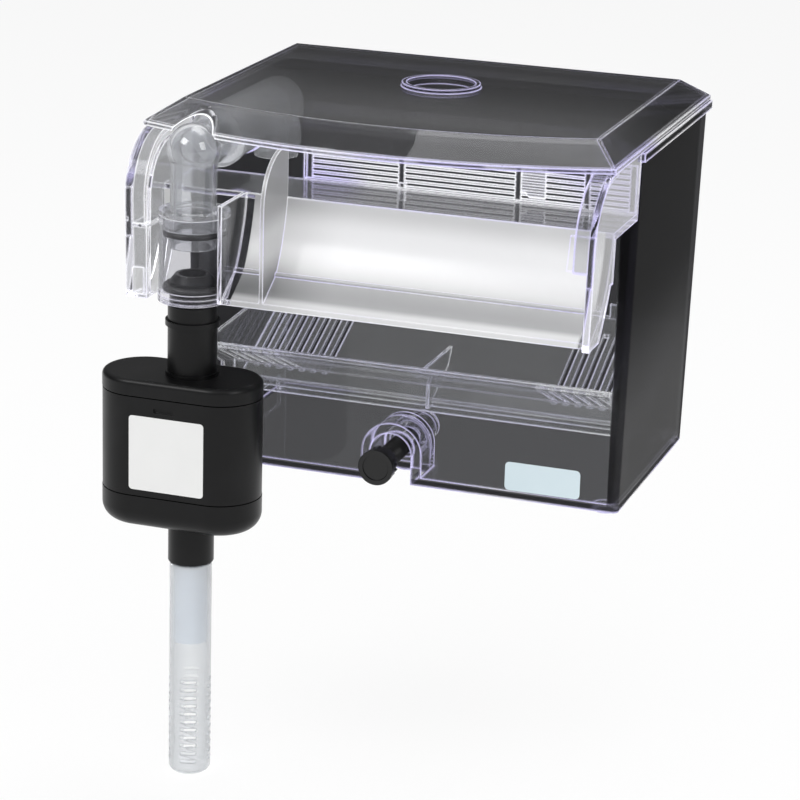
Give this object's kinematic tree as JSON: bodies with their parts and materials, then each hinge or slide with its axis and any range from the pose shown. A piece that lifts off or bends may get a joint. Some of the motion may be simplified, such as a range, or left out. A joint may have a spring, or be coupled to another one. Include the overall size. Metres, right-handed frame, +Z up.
{
  "type": "fish breeding box",
  "caption": "Clear hang-on breeding box with a lift-off lid, slotted trough insert, overflow grille, curved spillway and a submersible feed pump on a pipe.",
  "frame": {"origin": "middle of the bridge's underside, where the box rests on the tank glass", "axes": "+X along the box to the right as seen from the tank, +Y from the tank towards the box, +Z up"},
  "size_m": [0.2214, 0.1899, 0.301],
  "materials": {
    "clear_acrylic": "clear moulded plastic with a faint violet edge",
    "frosted_tube": "milky translucent plastic",
    "black_casing": "satin black moulded plastic",
    "seal_rubber": "black elastomer",
    "ferrite": "sintered ferrite magnet",
    "white_plastic": "white moulded plastic",
    "ceramic": "polished ceramic",
    "core_steel": "laminated steel",
    "coil_copper": "enamelled copper wire"
  },
  "bodies": {
    "box": {"main_box": "clear_acrylic", "front_hood": "clear_acrylic", "spillway_chute": "clear_acrylic", "elbow_pipe": "frosted_tube", "cross_pipe": "frosted_tube", "upper_o_ring": "seal_rubber"},
    "lid": {"lid": "clear_acrylic"},
    "grille": {"overflow_grille": "clear_acrylic"},
    "trough": {"insert_front_panel": "clear_acrylic", "insert_rear_panel": "clear_acrylic", "insert_left_end": "clear_acrylic", "insert_right_end": "clear_acrylic"},
    "divider": {"centre_divider": "clear_acrylic"},
    "screw": {"leveling_screw": "black_casing"},
    "knob": {"screw_knob": "black_casing"},
    "outlet": {"return_outlet": "frosted_tube"},
    "sleeve": {"coupling_sleeve": "clear_acrylic", "lower_o_ring": "seal_rubber"},
    "pump": {"pump_outlet_pipe": "black_casing", "pump_top_cover": "black_casing", "pump_body": "black_casing", "rotor_shaft": "ceramic", "upper_bush": "seal_rubber", "stator_core": "core_steel", "stator_coil": "coil_copper", "cable_gland": "black_casing"},
    "pump_base": {"pump_bottom_cover": "black_casing", "cover_seal": "seal_rubber", "inlet_collar": "black_casing", "intake_tube": "frosted_tube", "lower_bush": "seal_rubber"},
    "intake": {"strainer": "frosted_tube"},
    "rotor": {"rotor_magnet": "ferrite", "impeller": "white_plastic"}
  },
  "joints": [
    {"name": "lid_lift", "type": "slide", "parent": "box", "child": "lid", "axis": [0, 0, 1], "range_m": [0, 0.04]},
    {"name": "grille_lift", "type": "slide", "parent": "box", "child": "grille", "axis": [0, 0, 1], "range_m": [0, 0.006]},
    {"name": "trough_lift", "type": "slide", "parent": "box", "child": "trough", "axis": [0, 0, 1], "range_m": [0, 0.06]},
    {"name": "divider_lift", "type": "slide", "parent": "trough", "child": "divider", "axis": [0, 0, 1], "range_m": [0, 0.04]},
    {"name": "screw_travel", "type": "slide", "parent": "box", "child": "screw", "axis": [0, -1, 0], "range_m": [-0.008, 0.01]},
    {"name": "knob_turn", "type": "hinge", "parent": "screw", "child": "knob", "pos_m": [-0.004, 0.002, -0.118], "axis": [0, -1, 0], "range_deg": [-1445, 1805]},
    {"name": "outlet_swivel", "type": "hinge", "parent": "box", "child": "outlet", "pos_m": [-0.077, 0.047, 0.023], "axis": [0, 1, 0], "range_deg": [-60, 30]},
    {"name": "pump_swivel", "type": "hinge", "parent": "box", "child": "sleeve", "pos_m": [-0.077, -0.035, -0.023], "axis": [0, 0, 1], "continuous": true},
    {"name": "pump_pull", "type": "slide", "parent": "sleeve", "child": "pump", "axis": [0, 0, -1], "range_m": [0, 0.02]},
    {"name": "cover_pull", "type": "slide", "parent": "pump", "child": "pump_base", "axis": [0, 0, -1], "range_m": [0, 0.018]},
    {"name": "strainer_slide", "type": "slide", "parent": "pump_base", "child": "intake", "axis": [0, 0, -1], "range_m": [0, 0.025]},
    {"name": "rotor_spin", "type": "hinge", "parent": "pump", "child": "rotor", "pos_m": [-0.077, -0.035, -0.111], "axis": [0, 0, 1], "continuous": true}
  ],
  "couplings": [
    {"joint": "knob_turn", "follows": "screw_travel", "rad_per_m": 3141.6}
  ]
}
